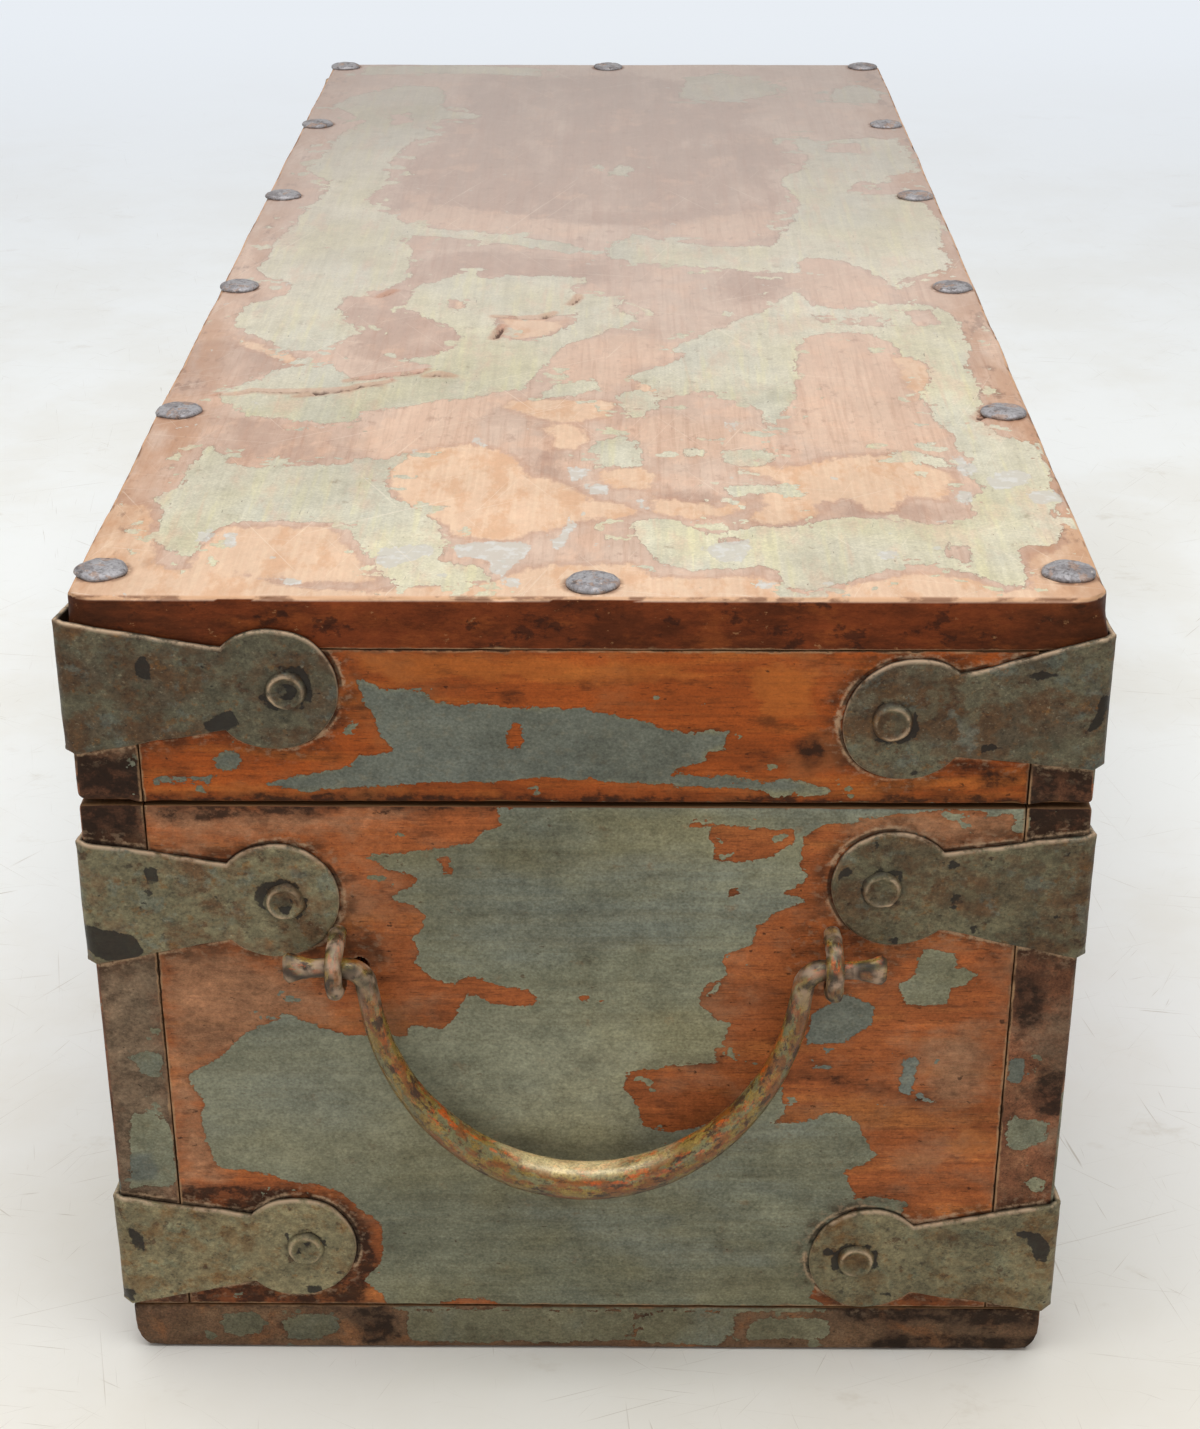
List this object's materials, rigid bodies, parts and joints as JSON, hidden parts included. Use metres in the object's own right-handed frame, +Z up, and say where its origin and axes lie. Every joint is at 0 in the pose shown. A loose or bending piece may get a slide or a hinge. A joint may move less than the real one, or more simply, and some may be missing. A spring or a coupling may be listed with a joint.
{
  "type": "tool chest",
  "caption": "Long wooden tool chest with a hinged lid, iron corner straps, a swinging bail handle on each end and a hasp.",
  "frame": {"origin": "middle of the underside of the bottom board, on the floor", "axes": "+Z up, Y along the chest with the near end at -Y, the hinges on the -X side and the hasp on the +X side"},
  "size_m": [0.2531, 0.5902, 0.2101],
  "materials": {
    "pine_top": "worn pale pine under thin worn-off paint, satin",
    "pine_painted": "grey-green oil paint flaking off orange-brown varnish",
    "pine_varnished": "old orange-brown varnish with dirt and paint remains",
    "pine_bottom": "dark stained, dirty and worn",
    "iron_painted": "sheet iron, old grey-green paint with rust and scratches",
    "iron_worn": "wrought iron worn smooth, with rust and paint remains",
    "iron_dark": "dark forged iron, slightly polished by wear"
  },
  "bodies": {
    "chest": {"bottom_board": "pine_bottom", "hinge_side_board": "pine_varnished", "hasp_side_board": "pine_varnished", "near_end_board": "pine_painted", "far_end_board": "pine_painted", "upper_strap_near_hinge": "iron_painted", "upper_strap_near_hasp": "iron_painted", "upper_strap_far_hasp": "iron_painted", "upper_strap_far_hinge": "iron_painted", "lower_strap_near_hinge": "iron_painted", "lower_strap_near_hasp": "iron_painted", "lower_strap_far_hasp": "iron_painted", "lower_strap_far_hinge": "iron_painted", "upper_rivet_near_hinge": "iron_painted", "upper_rivet_near_hasp": "iron_painted", "lower_rivet_near_hinge": "iron_painted", "lower_rivet_near_hasp": "iron_painted", "near_staple_hinge": "iron_worn", "near_staple_hasp": "iron_worn", "far_staple_hinge": "iron_worn", "far_staple_hasp": "iron_worn", "near_hinge_body_leaf": "iron_painted", "near_hinge_pin": "iron_dark", "far_hinge_body_leaf": "iron_painted", "far_hinge_pin": "iron_dark", "hasp_plate": "iron_painted", "hasp_pin": "iron_dark"},
    "lid": {"lid_top_board": "pine_top", "lid_hinge_rail": "pine_varnished", "lid_hasp_rail": "pine_varnished", "lid_near_rail": "pine_varnished", "lid_far_rail": "pine_varnished", "lid_strap_near_hinge": "iron_painted", "lid_strap_near_hasp": "iron_painted", "lid_strap_far_hasp": "iron_painted", "lid_strap_far_hinge": "iron_painted", "lid_rivet_near_hinge": "iron_painted", "lid_rivet_near_hasp": "iron_painted", "lid_nail_hinge_1": "iron_dark", "lid_nail_hinge_2": "iron_dark", "lid_nail_hinge_3": "iron_dark", "lid_nail_hinge_4": "iron_dark", "lid_nail_hinge_5": "iron_dark", "lid_nail_hinge_6": "iron_dark", "lid_nail_hasp_1": "iron_dark", "lid_nail_hasp_2": "iron_dark", "lid_nail_hasp_3": "iron_dark", "lid_nail_hasp_4": "iron_dark", "lid_nail_hasp_5": "iron_dark", "lid_nail_hasp_6": "iron_dark", "lid_nail_near": "iron_dark", "lid_nail_far": "iron_dark", "near_hinge_lid_leaf": "iron_painted", "far_hinge_lid_leaf": "iron_painted", "lid_staple": "iron_dark"},
    "near_handle": {"near_handle": "iron_worn"},
    "far_handle": {"far_handle": "iron_worn"},
    "hasp": {"hasp_strap": "iron_painted"}
  },
  "joints": [
    {"name": "lid_hinge", "type": "hinge", "parent": "chest", "child": "lid", "pos_m": [-0.1192, 0, 0.1565], "axis": [0, -1, 0], "range_deg": [0, 180]},
    {"name": "near_handle_swing", "type": "hinge", "parent": "chest", "child": "near_handle", "pos_m": [0, -0.2872, 0.1175], "axis": [-1, 0, 0], "range_deg": [0, 180]},
    {"name": "far_handle_swing", "type": "hinge", "parent": "chest", "child": "far_handle", "pos_m": [0, 0.2872, 0.1175], "axis": [1, 0, 0], "range_deg": [0, 180]},
    {"name": "hasp_swing", "type": "hinge", "parent": "chest", "child": "hasp", "pos_m": [0.1192, 0, 0.1381], "axis": [0, -1, 0], "range_deg": [0, 180]}
  ]
}
